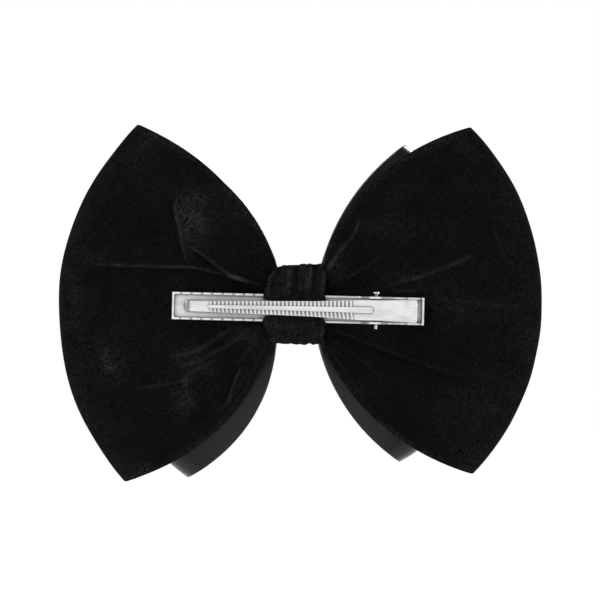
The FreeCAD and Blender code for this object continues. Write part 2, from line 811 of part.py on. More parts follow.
def main():
    make_clip_base()
    make_clip_lever()
    make_hinge_pin()
    make_leaf_spring()
    make_glue("clip_glue", "sizes.clip_sheet", "sizes.rear_back",
              "sizes.clip_width / 2 - sizes.glue_inset", "0")
    rear_front = "sizes.rear_back + sizes.rear_pinch_depth"
    make_glue("tier_glue", rear_front, f"{rear_front} + sizes.tier_gap",
              "sizes.pinch_half_height - sizes.pinch_corner - sizes.glue_inset", "sizes.pinch_centre")
    make_pinch("rear_pinch", size("rear_back"), size("rear_pinch_depth"))
    make_thread("rear_thread", size("rear_back"), size("rear_pinch_depth"))
    make_pinch("front_pinch", front_back(), size("front_pinch_depth"))
    make_thread("front_thread", front_back(), size("front_pinch_depth"))
    make_centre_band()
    for tier in ("rear", "front"):
        for side in (-1, 1):
            make_loop(tier, side)
            make_lining(tier, side)
    doc.recompute()
    check_document()
    os.makedirs("parts", exist_ok=True)
    for part in parts:
        part.Shape.exportStep(f"parts/{part.Label}.step")
        box = part.Shape.BoundBox
        print(f"{part.Label}: {len(part.Shape.Solids)} solid, {part.Shape.Volume:.1f} mm3, "
              f"X {box.XMin:.1f} {box.XMax:.1f}, Y {box.YMin:.1f} {box.YMax:.1f}, "
              f"Z {box.ZMin:.1f} {box.ZMax:.1f}")


main()
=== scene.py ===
import math
import bpy
import bmesh
import numpy as np
from mathutils import Matrix, Vector


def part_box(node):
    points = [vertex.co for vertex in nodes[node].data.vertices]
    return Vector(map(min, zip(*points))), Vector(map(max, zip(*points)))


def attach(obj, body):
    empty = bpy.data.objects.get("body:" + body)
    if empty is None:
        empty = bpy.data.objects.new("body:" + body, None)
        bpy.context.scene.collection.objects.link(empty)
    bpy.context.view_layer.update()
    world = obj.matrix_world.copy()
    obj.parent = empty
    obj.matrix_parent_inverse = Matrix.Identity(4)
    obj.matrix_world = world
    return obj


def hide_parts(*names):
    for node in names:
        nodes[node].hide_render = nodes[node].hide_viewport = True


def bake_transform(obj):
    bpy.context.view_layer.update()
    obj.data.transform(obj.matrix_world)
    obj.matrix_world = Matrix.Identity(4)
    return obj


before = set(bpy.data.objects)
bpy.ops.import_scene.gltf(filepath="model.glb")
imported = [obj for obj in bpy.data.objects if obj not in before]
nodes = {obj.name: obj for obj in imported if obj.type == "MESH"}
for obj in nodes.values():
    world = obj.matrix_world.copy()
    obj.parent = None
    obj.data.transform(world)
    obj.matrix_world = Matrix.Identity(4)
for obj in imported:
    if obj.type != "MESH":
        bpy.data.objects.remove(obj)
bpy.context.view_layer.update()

MM = 0.001
FINE = 1.0

# ---------------------------------------------------------------- sizes, in millimetres
# They repeat the values of the CAD source, which this script can't read. A tier's pinch is its middle under
# the band, and its fold is where the cloth turns back. A loop's reach is the distance of its middle, its
# upper corner and its lower corner from the bow's middle. Its angles and bulges are those of its upper edge
# and of its lower edge.

TIERS = {
    "rear": {"pinch_y": 6.1, "pinch_half": 4.0, "fold_y": 8.6, "fold_radius": 7.0, "cloth": 1.2},
    "front": {"pinch_y": 15.0, "pinch_half": 3.45, "fold_y": 24.4, "fold_radius": 7.4, "cloth": 0.9},
}
LOOPS = {
    "rear_loop_left": {
        "tier": "rear", "side": -1,
        "reach": (75.6, 76.8, 77.0), "angle": (47.3, 46.2), "bulge": (13.6, 16.5)},
    "rear_loop_right": {
        "tier": "rear", "side": 1,
        "reach": (77.0, 79.0, 76.0), "angle": (47.6, 41.8), "bulge": (17.5, 14.5)},
    "front_loop_left": {
        "tier": "front", "side": -1,
        "reach": (62.0, 57.2, 64.6), "angle": (53.5, 58.2), "bulge": (8.5, 14.5)},
    "front_loop_right": {
        "tier": "front", "side": 1,
        "reach": (62.0, 62.5, 58.7), "angle": (58.0, 54.9), "bulge": (9.0, 9.5)},
}
PINCH_CENTRE = 1.3                 # height of the middle of the gathered cloth
PINCH_HALF = 10.6                  # half the height of the gathered cloth
START_WIDE = 6.9                   # where a loop goes under the band, from the bow's middle
START_HALF = 10.3                  # half the height of a loop where it starts
FOLD_SHARE = 0.3                   # share of a loop's length that is its fold
PANEL_SHARE = 0.35                 # share of a loop's length that is each of its two panels
CORNER_THIN = 0.2                  # how much flatter the fold is at a loop's corners
LINING = 0.6
LINING_GAP = 0.35
LINING_INSET = 0.05                # share of a loop's length that its lining stops short at each end
LINING_WIDE = 0.965                # share of a loop's width that its lining reaches to
BAND_CLOTH = 0.9
WELD = 1e-6                        # points closer than this are one, in metres


# ---------------------------------------------------------------- small helpers

def smooth(value, low, high):
    """0 below low, 1 above high, and a smooth step between."""
    t = np.clip((value - low) / (high - low), 0.0, 1.0)
    return t * t * (3.0 - 2.0 * t)


def unit(v):
    """Vectors of length 1, along the last axis."""
    return v / np.maximum(np.linalg.norm(v, axis=-1, keepdims=True), 1e-9)


WAVE_COUNT = 7                     # waves in each octave
WAVE_LEVEL = 4.2                   # divides their sum, so that it stays near 1


def waves(points, scale, seed):
    """Smooth noise between about -1 and 1 at each point, with features about scale mm across."""
    rng = np.random.default_rng(seed)
    total = np.zeros(points.shape[:-1])
    for octave in range(2):
        for _ in range(WAVE_COUNT):
            way = rng.normal(size=3)
            way = way / np.linalg.norm(way) * 2 * math.pi / scale * (2 ** octave) * rng.uniform(0.7, 1.3)
            total += np.sin(points @ way + rng.uniform(0, 2 * math.pi)) * 0.5 ** octave
    return total / WAVE_LEVEL


# ---------------------------------------------------------------- creases
# Each is a line on the cloth: kind, height at its start, height at its end, width, shine, and its points in X
# and Z, all in mm but the shine.
# A ridge stands up on both sides of its line. A shelf stands up on the line's left and drops on its right.

# The shine is a painted highlight along a crease; below a shelf's drop the pile is painted darker, as its
# shade.
LEFT_CREASES = [
    # the long fold level with the top of the clip
    ("shelf", 0.25, 0.9, 7.0, 0.80,
     [(-68.0, 12.2), (-52.0, 12.0), (-33.0, 12.0), (-24.0, 10.0), (-16.0, 8.0), (-10.5, 6.0)]),
    # the folds that run down to it from the upper middle
    ("shelf", 0.5, 1.3, 8.0, 0.5, [(-35.5, 18.5), (-31.0, 16.5), (-26.5, 13.0), (-22.0, 9.8), (-15.0, 7.4)]),
    ("shelf", 0.4, 1.1, 6.0, 0.4,
     [(-39.5, 35.0), (-40.0, 31.0), (-38.0, 23.0), (-37.0, 18.5), (-35.5, 13.5)]),
    # below the clip
    ("ridge", 0.5, 0.8, 0.9, 0.4, [(-41.0, -16.5), (-34.0, -15.0), (-28.0, -11.7), (-21.0, -6.8)]),
    ("ridge", 0.4, 0.6, 0.8, 0.25, [(-38.0, -19.5), (-30.0, -17.0), (-22.0, -12.0), (-15.0, -7.5)]),
    ("ridge", 0.5, 0.3, 0.9, 0.3, [(-52.0, -26.5), (-45.0, -25.8), (-37.0, -24.0), (-30.0, -22.4)]),
    ("ridge", 0.5, 0.3, 1.6, 0.3,
     [(-25.0, -17.0), (-30.0, -19.5), (-35.0, -22.5), (-34.0, -29.0), (-30.0, -34.0)]),
    ("shelf", 0.7, 0.5, 5.0, 0.55, [(-17.5, -18.5), (-19.5, -23.0), (-22.0, -31.0)]),
    ("ridge", 0.5, 0.1, 0.6, 0.16, [(-10.5, -12.0), (-16.0, -25.5), (-23.0, -36.0), (-27.5, -40.5)]),
    ("ridge", 0.5, 0.1, 0.6, 0.16, [(-12.0, -11.5), (-18.0, -25.0), (-25.0, -35.0)]),
    ("ridge", 0.5, 0.1, 0.6, 0.16, [(-12.5, -9.5), (-18.5, -18.0), (-25.0, -28.0)]),
    ("ridge", 0.2, 0.2, 1.0, 0.2, [(-75.0, -3.0), (-63.0, -2.8)]),
]
RIGHT_CREASES = [
    ("ridge", 0.2, 0.7, 0.6, 0.5, [(19.0, 30.0), (17.5, 24.2), (13.0, 18.5), (8.0, 11.0)]),
    ("ridge", 0.6, 0.3, 0.8, 0.45, [(28.0, 8.2), (38.0, 10.8), (46.0, 14.0), (57.0, 19.0)]),
    ("ridge", 0.4, 0.2, 0.7, 0.3, [(30.0, 5.8), (41.0, 7.0)]),
    ("ridge", 0.3, 0.3, 0.8, 0.3, [(61.0, 26.0), (63.7, 22.0), (64.6, 17.5)]),
    ("ridge", 0.2, 0.2, 0.8, 0.2, [(41.0, 4.4), (52.0, 3.4), (61.0, 3.0), (76.0, 1.6)]),
    ("shelf", 1.0, 0.5, 6.0, 0.12, [(9.0, -5.6), (17.0, -8.6), (28.0, -12.6), (39.0, -16.4), (57.0, -22.0)]),
    ("ridge", 0.6, 0.1, 0.6, 0.16, [(9.5, -8.5), (17.0, -13.0), (27.0, -21.0)]),
    ("ridge", 0.5, 0.1, 0.6, 0.16, [(9.5, -11.0), (15.0, -19.0), (22.0, -29.0)]),
    ("ridge", 0.5, 0.1, 0.6, 0.16, [(9.5, 7.5), (17.0, 11.0), (27.0, 18.0)]),
]
# Patches of painted sheen, where the pile looks paler: middle X and Z, half sizes, strength.
LEFT_SHEEN_PATCHES = [
    (-34.0, 27.5, 5.5, 8.5, 1.0), (-73.5, 2.5, 3.5, 6.5, 0.9), (-59.0, -19.0, 5.0, 6.5, 0.7),
    (-36.0, -29.0, 3.0, 5.5, 0.7), (-33.0, -17.0, 6.0, 4.0, 0.35), (-16.0, -8.0, 5.0, 3.5, 0.4),
    (-66.0, 14.0, 5.0, 4.0, 0.3), (-53.0, -54.0, 5.0, 5.0, 0.4), (-52.0, 52.0, 5.0, 5.0, 0.35),
    (-22.0, 36.0, 7.0, 9.0, 0.25),
]
RIGHT_SHEEN_PATCHES = [
    (28.0, 26.0, 9.0, 5.0, 0.35), (11.0, 14.0, 3.5, 5.0, 0.5), (60.0, -30.0, 8.0, 6.0, 0.25),
    (54.0, 55.0, 5.0, 4.0, 0.35), (33.0, 10.0, 6.0, 3.0, 0.3), (55.0, 2.0, 14.0, 5.0, 0.2),
]


def from_line(spot, line):
    """Each point's signed distance from a line, its place along it from 0 to 1, and how far past its ends."""
    line = np.array(line, float)
    lengths = np.linalg.norm(np.diff(line, axis=0), axis=1)
    done = np.concatenate([[0.0], np.cumsum(lengths)])
    best = np.full(spot.shape[:-1], np.inf)
    signed = np.zeros_like(best)
    place = np.zeros_like(best)
    past = np.zeros_like(best)
    for k, length in enumerate(lengths):
        way = (line[k + 1] - line[k]) / length
        offset = spot - line[k]
        along = offset @ way
        held = np.clip(along, 0.0, length)
        gap = np.linalg.norm(offset - held[..., None] * way, axis=-1)
        across = way[0] * offset[..., 1] - way[1] * offset[..., 0]
        nearer = gap < best
        best = np.where(nearer, gap, best)
        signed = np.where(nearer, np.sign(across) * gap, signed)
        place = np.where(nearer, (done[k] + held) / done[-1], place)
        over = np.zeros_like(best)
        if k == 0:
            over = np.maximum(over, -along)
        if k == len(lengths) - 1:
            over = np.maximum(over, along - length)
        past = np.where(nearer, over, past)
    return signed, place, past


CREASE_PAST = 1.5                  # how fast a crease dies away past its ends
GROOVE_DEPTH = 0.45                # depth of the groove beside a ridge, as a share of its height
GROOVE_PLACE = 1.6                 # the groove's place and width, in widths of the ridge
GROOVE_WIDTH = 1.8
HOLLOW_DEPTH = 0.35                # depth of the hollow below a shelf, as a share of its height
HOLLOW_WIDTH = 2.0


def crease_field(spot, creases):
    """Height of the creases at each point, and their painted light: a highlight along each line and shade
    below each shelf.
    """
    height = np.zeros(spot.shape[:-1])
    crease_light = np.zeros(spot.shape[:-1])
    for kind, first, last, width, shine, line in creases:
        signed, place, past = from_line(spot, line)
        ends = smooth(place, -0.02, 0.16) * (1.0 - smooth(place, 0.84, 1.02))
        ends = ends * np.exp(-(past / CREASE_PAST) ** 2)
        tall = (first + (last - first) * place) * ends
        if kind == "ridge":
            groove = np.exp(-((signed + GROOVE_PLACE * width) / (GROOVE_WIDTH * width)) ** 2)
            height += tall * (np.exp(-(signed / width) ** 2) - GROOVE_DEPTH * groove)
            # painted highlight along the ridge's line
            crease_light += shine * ends * np.exp(-(signed / (0.25 + 0.15 * width)) ** 2)
        else:
            lip = smooth(signed, -0.5, 0.4)
            away = np.exp(-np.maximum(signed, 0.0) / width)
            hollow = np.exp(np.minimum(signed, 0.0) / HOLLOW_WIDTH)
            height += tall * (lip * away - HOLLOW_DEPTH * (1.0 - lip) * hollow)
            # painted highlight at the shelf's lip
            crease_light += shine * ends * np.exp(-((signed - 0.3) / 0.30) ** 2)
            # painted shadow below the shelf's drop
            crease_light -= ends * 0.8 * (1.0 - lip) * np.exp(np.minimum(signed, 0.0) / 2.2)
    return height, crease_light


def sheen_patch_field(spot, patches):
    """How much painted sheen the patches put on each point."""
    total = np.zeros(spot.shape[:-1])
    for x, z, wide, tall, strength in patches:
        total += strength * np.exp(-((spot[..., 0] - x) / wide) ** 2 - ((spot[..., 1] - z) / tall) ** 2)
    return total


# ---------------------------------------------------------------- cloth surfaces

def loop_middle(loop, across, along):
    """The loop's smooth middle surface: across from -1 to 1, along from 0 at the back to 1 at the front."""
    tier = TIERS[loop["tier"]]
    side = loop["side"]
    mid, top, low = loop["reach"]
    top_angle, low_angle = loop["angle"]
    s, a = np.meshgrid(across, along)
    reach = mid + s * (top - low) / 2 + s * s * ((top + low) / 2 - mid)
    angle = np.radians(s * (top_angle + low_angle) / 2 + s * s * (top_angle - low_angle) / 2)
    end = np.stack([side * reach * np.cos(angle), reach * np.sin(angle)], -1)
    start = np.stack([np.full_like(s, side * START_WIDE), PINCH_CENTRE + START_HALF * s], -1)
    way = unit(end - start)
    normal = np.stack([-side * way[..., 1], side * way[..., 0]], -1)
    top_bulge, low_bulge = loop["bulge"]
    bulge = s * (top_bulge + low_bulge) / 2 + s * s * (top_bulge - low_bulge) / 2
    control = (start + end) / 2 + normal * bulge[..., None]
    radius = tier["fold_radius"] * (1 - CORNER_THIN * s * s)
    turn = radius / reach
    front = a > 0.5
    share = np.clip(np.where(front, (1 - a), a) / PANEL_SHARE, 0.0, 1.0)
    swell = share * (2 - share)
    middle = tier["pinch_y"] + (tier["fold_y"] - tier["pinch_y"]) * swell
    half = tier["pinch_half"] + (radius - tier["pinch_half"]) * swell
    bend = np.pi * (np.clip((a - PANEL_SHARE) / FOLD_SHARE, 0.0, 1.0) - 0.5)
    in_fold = (a > PANEL_SHARE) & (a < 1 - PANEL_SHARE)
    out = np.where(in_fold, 1 - turn + turn * np.cos(bend), share * (1 - turn))
    panel = np.where(front, middle + half, middle - half)
    depth = np.where(in_fold, tier["fold_y"] + radius * np.sin(bend), panel)
    w = out[..., None]
    flat = start * (1 - w) ** 2 + control * (2 * w * (1 - w)) + end * w * w
    return np.stack([flat[..., 0], depth, flat[..., 1]], -1), out, s, a


def along_steps(back, fold, front):
    """Places along a loop, with their own number in the back panel, the fold and the front panel."""
    back, fold, front = int(back * FINE), max(16, int(fold * FINE)), int(front * FINE)
    return np.concatenate([
        np.linspace(0.0, PANEL_SHARE, back, endpoint=False),
        np.linspace(PANEL_SHARE, 1 - PANEL_SHARE, fold, endpoint=False),
        np.linspace(1 - PANEL_SHARE, 1.0, front)])


GATHER_LEVEL = 2.2                 # divides the sum of the gathers' waves, so that it stays near 1


def gathers(s, out, count, seed, reach):
    """Pleats that fan out from the pinched middle and die away towards the fold."""
    rng = np.random.default_rng(seed)
    total = np.zeros_like(s)
    for _ in range(4):
        turns = count * rng.uniform(0.6, 1.5)
        lean = rng.uniform(-0.5, 0.5)
        wave = np.sin(turns * (s + lean * out * 0.3) * math.pi + rng.uniform(0, 6.28))
        far = reach * rng.uniform(0.6, 1.3)
        total += (0.75 * wave + 0.25 * wave ** 3) * np.exp(-(out / far) ** 2)
    return total / GATHER_LEVEL


def ridged(s, out, seed):
    """Narrow uneven pleats that start at the band, each dying away at its own distance."""
    rng = np.random.default_rng(seed)
    total = np.zeros_like(s)
    for spot in np.linspace(-0.82, 0.82, 8):
        centre = spot + rng.uniform(-0.09, 0.09)
        drift = rng.uniform(-0.14, 0.14)
        wide = rng.uniform(0.045, 0.095)
        far = rng.uniform(0.28, 0.72)
        tall = rng.uniform(0.6, 1.0)
        gap = (s - centre - drift * out) / (wide * (1.0 + 1.2 * out))
        pleat = np.exp(-gap ** 2) - 0.4 * np.exp(-((gap - 1.7) / 1.2) ** 2)
        total += tall * pleat * np.exp(-(out / far) ** 3)
    return total


SOFT_WAVE, SMALL_WAVE, BREAK_WAVE = 34.0, 9.0, 5.0      # widths of the cloth's waves
SETTLE = (0.0, 0.12)               # shares of the reach between which the folds rise from the band
TURN_WAVE = 0.25                   # height of the waves on a rear loop's fold
VELVET_SOFT, VELVET_SMALL, VELVET_PLEATS = 0.55, 0.12, 0.45     # heights on a rear loop's back panel
VELVET_DIP = 0.25                  # how far that panel dips beside the band
VELVET_SINK = 0.9                  # how far a rear loop's front panel sinks in, below the front tier
SATIN_SINK = 0.6                   # how far a front loop's back panel sinks in, above the rear tier
SATIN_PLEATS, SATIN_LONG, SATIN_SOFT, SATIN_FAN = 0.9, 1.2, 0.7, 1.5    # heights on its show side
CLIP_LENGTH_FADE = (41.0, 46.0)    # the clip's room ends between these places along X
CLIP_WIDTH_FADE = (5.5, 9.0)       # and between these heights above and below it
CLIP_ROOM = 1.45                   # the cloth's middle stays this far from the clip's plane


def velvet_folds(middle, out, s, back, front, side, seed):
    """A rear loop's relief in mm, its painted sheen, and how bright its painted crease highlights are."""
    spot = middle[..., [0, 2]]
    soft = waves(middle, SOFT_WAVE, seed)
    small = waves(middle, SMALL_WAVE, seed + 1)
    settled = smooth(out, *SETTLE)
    turning = (1 - back) * (1 - front)
    creases, crease_light = crease_field(spot, LEFT_CREASES if side < 0 else RIGHT_CREASES)
    pale = sheen_patch_field(spot, LEFT_SHEEN_PATCHES if side < 0 else RIGHT_SHEEN_PATCHES)
    pleats = gathers(s, out, 5.0, seed + 2, 0.30)
    relief = creases + VELVET_SOFT * soft * settled + VELVET_SMALL * small + VELVET_PLEATS * pleats
    height = back * (relief - VELVET_DIP * smooth(0.3 - out, 0.0, 0.2))
    sunk = -VELVET_SINK + 0.5 * np.minimum(soft, 0.3) + 0.35 * np.minimum(pleats, 0.0)
    height += front * sunk * settled
    height += turning * TURN_WAVE * soft
    clip = 1 - smooth(np.abs(spot[..., 0]), *CLIP_LENGTH_FADE)
    clip = clip * (1 - smooth(np.abs(spot[..., 1]), *CLIP_WIDTH_FADE))
    room = middle[..., 1] - CLIP_ROOM
    height = np.where(back > 0.5, np.minimum(height, room + 6.0 * (1 - clip)), height)
    # painted sheen: the patches, highlight and shade at the creases, paler loop edges and a paler fold
    painted_sheen = back * (pale + 0.5 * np.clip(crease_light, -0.6, 1.0)) + 0.35 * smooth(np.abs(s), 0.95, 1.0)
    painted_sheen += 0.2 * turning
    # painted highlight along the creases, broken along its length
    broken = 0.75 + 0.5 * waves(middle, BREAK_WAVE, seed + 4)
    line = back * np.clip(crease_light, 0.0, 1.0) * np.clip(broken, 0.3, 1.2)
    return height, painted_sheen, line


def satin_folds(middle, out, s, back, front, seed):
    """A front loop's relief in mm: flat at its back, with pleats fanning out over its show side."""
    soft = waves(middle, SOFT_WAVE, seed)
    pleats = gathers(s, out, 4.0, seed + 2, 0.42)
    long_folds = gathers(s, out * 0.6, 2.2, seed + 5, 0.6)
    fan = ridged(s, out, seed + 9)
    height = back * (-SATIN_SINK + 0.4 * np.minimum(pleats, 0.0)) * smooth(out, *SETTLE)
    shown = SATIN_PLEATS * pleats + SATIN_LONG * long_folds + SATIN_SOFT * soft + SATIN_FAN * fan
    height += front * shown * smooth(out, -0.05, 0.15)
    height += (1 - back) * (1 - front) * 0.3 * soft
    return height


def shaped_loop(name, steps, columns):
    """A loop's middle surface with its folds, and its painted sheen and painted crease highlights at each
    point.
    """
    loop = LOOPS[name]
    side = loop["side"]
    middle, out, s, a = loop_middle(loop, np.linspace(-1.0, 1.0, columns), steps)
    normal = side * unit(np.cross(np.gradient(middle, axis=0), np.gradient(middle, axis=1)))
    back = 1.0 - smooth(a, 0.30, 0.42)
    front = smooth(a, 0.58, 0.70)
    seed = 3 + 7 * len(name) + (side > 0)       # each loop has its own noise
    if loop["tier"] == "rear":
        height, painted_sheen, line = velvet_folds(middle, out, s, back, front, side, seed)
    else:
        height = satin_folds(middle, out, s, back, front, seed)
        painted_sheen, line = np.zeros_like(s), np.zeros_like(s)
    return middle + normal * height[..., None], np.stack([painted_sheen, line], -1)


def sheet_object(name, middle, thickness, sign, painted_sheen=None, closed=False, arc=4):
    """A thin solid on both sides of a middle surface in mm, with rounded edges.

    It runs round a closed path, or has closed ends. arc is the number of steps round each edge.
    """
    rows, columns = middle.shape[:2]
    if closed:
        down = np.roll(middle, -1, 0) - np.roll(middle, 1, 0)
    else:
        down = np.gradient(middle, axis=0)
    over = np.gradient(middle, axis=1)
    normal = sign * unit(np.cross(down, over))
    rim = unit(over - (over * normal).sum(-1, keepdims=True) * normal)
    half = thickness / 2
    parts = [middle + normal * half]
    values = [painted_sheen if painted_sheen is not None else np.zeros((rows, columns, 2))]
    turns = [math.pi * (k + 1) / (arc + 1) for k in range(arc)]
    for turn in turns:
        away = math.cos(turn) * normal[:, -1] + math.sin(turn) * rim[:, -1]
        parts.append((middle[:, -1] + half * away)[:, None])
        values.append(values[0][:, -1:])
    parts.append((middle - normal * half)[:, ::-1])
    values.append(values[0][:, ::-1])
    for turn in turns:
        away = math.cos(turn) * normal[:, 0] + math.sin(turn) * rim[:, 0]
        parts.append((middle[:, 0] - half * away)[:, None])
        values.append(values[0][:, :1])
    points = np.concatenate(parts, 1)
    values = np.concatenate(values, 1)
    ring = points.shape[1]
    index = np.arange(rows * ring).reshape(rows, ring)
    beside = np.roll(index, -1, 1)
    if closed:
        quads = np.stack([index, beside, np.roll(beside, -1, 0), np.roll(index, -1, 0)], -1).reshape(-1, 4)
    else:
        quads = np.stack([index[:-1], beside[:-1], beside[1:], index[1:]], -1).reshape(-1, 4)
    faces = quads.tolist()
    if not closed:
        inner = columns + arc
        for row in (0, rows - 1):
            for c in range(columns - 1):
                faces.append([index[row, c], index[row, c + 1],
                              index[row, inner + columns - 2 - c], index[row, inner + columns - 1 - c]])
            faces.append([index[row, k] for k in range(columns - 1, columns + arc + 1)])
            faces.append([index[row, k] for k in range(inner + columns - 1, ring)] + [index[row, 0]])
    return mesh_object(name, points.reshape(-1, 3), faces, values.reshape(-1, 2))


def mesh_object(name, points, faces, painted_sheen=None):
    """An object from points in mm, with its painted sheen and painted crease highlight on each point if they
    are given.
    """
    mesh = bpy.data.meshes.new(name)
    mesh.from_pydata((points * MM).tolist(), [], faces)
    mesh.update()
    work = bmesh.new()
    work.from_mesh(mesh)
    bmesh.ops.recalc_face_normals(work, faces=work.faces)
    work.to_mesh(mesh)
    work.free()
    mesh.polygons.foreach_set("use_smooth", [True] * len(mesh.polygons))
    if painted_sheen is not None:
        # painted sheen and painted crease highlight, read by the velvet
        for k, attribute in enumerate(("painted_sheen", "crease")):
            layer = mesh.attributes.new(attribute, "FLOAT", "POINT")
            layer.data.foreach_set("value", np.ascontiguousarray(painted_sheen[:, k], np.float32))
    made = bpy.data.objects.new(name, mesh)
    bpy.context.scene.collection.objects.link(made)
    return made


def paint(made, material):
    """Give an object one material."""
    made.data.materials.clear()
    made.data.materials.append(material)


def ride_for(made, node):
    """Let a piece ride on the bow in place of one CAD node."""
    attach(made, "bow")
    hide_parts(node)


# ---------------------------------------------------------------- materials

WHITE = (1.0, 1.0, 1.0, 1.0)


def new_material(name):
    """A material, its node tree and its shader."""
    made = bpy.data.materials.new(name)
    made.use_nodes = True
    return made, made.node_tree, made.node_tree.nodes["Principled BSDF"]


def place_node(tree):
    """The place on the object, which moves with it."""
    return tree.nodes.new("ShaderNodeTexCoord").outputs["Object"]


def noise_node(tree, where, scale, detail=2.0, roughness=0.5, stretch=None):
    """Noise with features of about 1/scale metres. A stretch below 1 draws them out along that axis."""
    if stretch is not None:
        mapping = tree.nodes.new("ShaderNodeMapping")
        mapping.inputs["Scale"].default_value = stretch
        tree.links.new(where, mapping.inputs["Vector"])
        where = mapping.outputs["Vector"]
    made = tree.nodes.new("ShaderNodeTexNoise")
    made.inputs["Scale"].default_value = scale
    made.inputs["Detail"].default_value = detail
    made.inputs["Roughness"].default_value = roughness
    tree.links.new(where, made.inputs["Vector"])
    return made.outputs["Fac"]


def math_node(tree, operation, first, second=0.0):
    """Arithmetic on two numbers or outputs."""
    made = tree.nodes.new("ShaderNodeMath")
    made.operation = operation
    for socket, value in zip(made.inputs, (first, second)):
        if isinstance(value, (int, float)):
            socket.default_value = value
        else:
            tree.links.new(value, socket)
    return made.outputs[0]


def range_node(tree, value, low, high, to_low, to_high):
    """A value moved from one range to another, and held inside it."""
    made = tree.nodes.new("ShaderNodeMapRange")
    for name, number in (("From Min", low), ("From Max", high), ("To Min", to_low), ("To Max", to_high)):
        made.inputs[name].default_value = number
    tree.links.new(value, made.inputs["Value"])
    return made.outputs["Result"]


def grey_node(tree, value, tint=(1.0, 1.0, 1.0)):
    """A grey of the given level, with a tint."""
    made = tree.nodes.new("ShaderNodeCombineColor")
    for socket, share in zip(made.inputs, tint):
        tree.links.new(math_node(tree, "MULTIPLY", value, share), socket)
    return made.outputs["Color"]


def bump_node(tree, height, strength, distance, before=None):
    """A normal that follows a height, on top of another normal if one is given."""
    made = tree.nodes.new("ShaderNodeBump")
    made.inputs["Strength"].default_value = strength
    made.inputs["Distance"].default_value = distance
    tree.links.new(height, made.inputs["Height"])
    if before is not None:
        tree.links.new(before, made.inputs["Normal"])
    return made.outputs["Normal"]


VELVET_BASE = 0.0019               # how much light the pile returns where it is darkest
VELVET_FLECK = 0.0052              # and what the flecks, the painted sheen and the painted highlights along creases add to it
VELVET_PALE = 0.024
VELVET_CREASE_HIGHLIGHT = 0.013


def make_velvet():
    """Black velvet: a deep short pile with tiny pale flecks, with painted sheen in patches, at edges and
    folds, and painted highlights along creases.
    """
    made, tree, shader = new_material("velvet")
    where = place_node(tree)
    painted_sheen = tree.nodes.new("ShaderNodeAttribute")
    painted_sheen.attribute_name = "painted_sheen"
    line = tree.nodes.new("ShaderNodeAttribute")
    line.attribute_name = "crease"
    pile = noise_node(tree, where, 2600.0, 2.0, 0.65)
    clumps = noise_node(tree, where, 1100.0, 2.0, 0.6)
    blotches = noise_node(tree, where, 70.0, 3.0, 0.55)
    threads = noise_node(tree, where, 1400.0, 1.0, 0.5, (0.08, 1.0, 1.0))
    fleck = range_node(tree, pile, 0.45, 0.72, 0.0, 1.0)
    clump = range_node(tree, clumps, 0.40, 0.68, 0.0, 1.0)
    blotch = range_node(tree, blotches, 0.35, 0.70, 0.0, 1.0)
    tufts = range_node(tree, noise_node(tree, where, 260.0, 3.0, 0.65), 0.32, 0.66, 0.25, 1.35)
    # painted sheen from the mesh, broken up by tufts, plus random blotches of tone
    sheen_and_blotches = math_node(tree, "MULTIPLY", painted_sheen.outputs["Fac"], tufts)
    sheen_and_blotches = math_node(tree, "ADD", sheen_and_blotches, math_node(tree, "MULTIPLY", blotch, 0.17))
    sheen_and_blotches = math_node(tree, "MAXIMUM", sheen_and_blotches, 0.0)
    grain = math_node(tree, "ADD", math_node(tree, "MULTIPLY", fleck, 0.75),
                      math_node(tree, "MULTIPLY", clump, 0.45))
    pale = math_node(tree, "MULTIPLY", sheen_and_blotches, grain)
    level = math_node(tree, "ADD", math_node(tree, "MULTIPLY", pale, VELVET_PALE), VELVET_BASE)
    level = math_node(tree, "ADD", level, math_node(tree, "MULTIPLY", fleck, VELVET_FLECK))
    # painted highlight along the creases
    level = math_node(tree, "ADD", level, math_node(tree, "MULTIPLY", line.outputs["Fac"], VELVET_CREASE_HIGHLIGHT))
    tree.links.new(grey_node(tree, level, (1.0, 0.99, 1.0)), shader.inputs["Base Color"])
    shader.inputs["Roughness"].default_value = 0.95
    shader.inputs["Specular IOR Level"].default_value = 0.0
    shader.inputs["Sheen Weight"].default_value = 0.012
    shader.inputs["Sheen Roughness"].default_value = 0.35
    shader.inputs["Sheen Tint"].default_value = WHITE
    rough = math_node(tree, "ADD", pile, math_node(tree, "MULTIPLY", threads, 0.5))
    normal = bump_node(tree, rough, 0.35, 0.0003)
    normal = bump_node(tree, clumps, 0.25, 0.0008, normal)
    tree.links.new(normal, shader.inputs["Normal"])
    return made


def make_satin():
    """Black satin: smooth and softly glossy, with a fine weave of parallel threads."""
    made, tree, shader = new_material("satin")
    where = place_node(tree)
    warp = noise_node(tree, where, 2600.0, 1.0, 0.5, (1.0, 1.0, 0.06))
    weft = noise_node(tree, where, 2600.0, 1.0, 0.5, (0.06, 1.0, 1.0))
    slub = noise_node(tree, where, 160.0, 3.0, 0.6, (0.25, 1.0, 1.0))
    level = range_node(tree, slub, 0.3, 0.7, 0.0034, 0.0046)
    tree.links.new(grey_node(tree, level, (1.0, 1.0, 1.02)), shader.inputs["Base Color"])
    tree.links.new(range_node(tree, slub, 0.3, 0.7, 0.30, 0.37), shader.inputs["Roughness"])
    shader.inputs["Specular IOR Level"].default_value = 0.19
    shader.inputs["Anisotropic"].default_value = 0.35
    weave = math_node(tree, "ADD", warp, weft)
    tree.links.new(bump_node(tree, weave, 0.12, 0.00012), shader.inputs["Normal"])
    return made


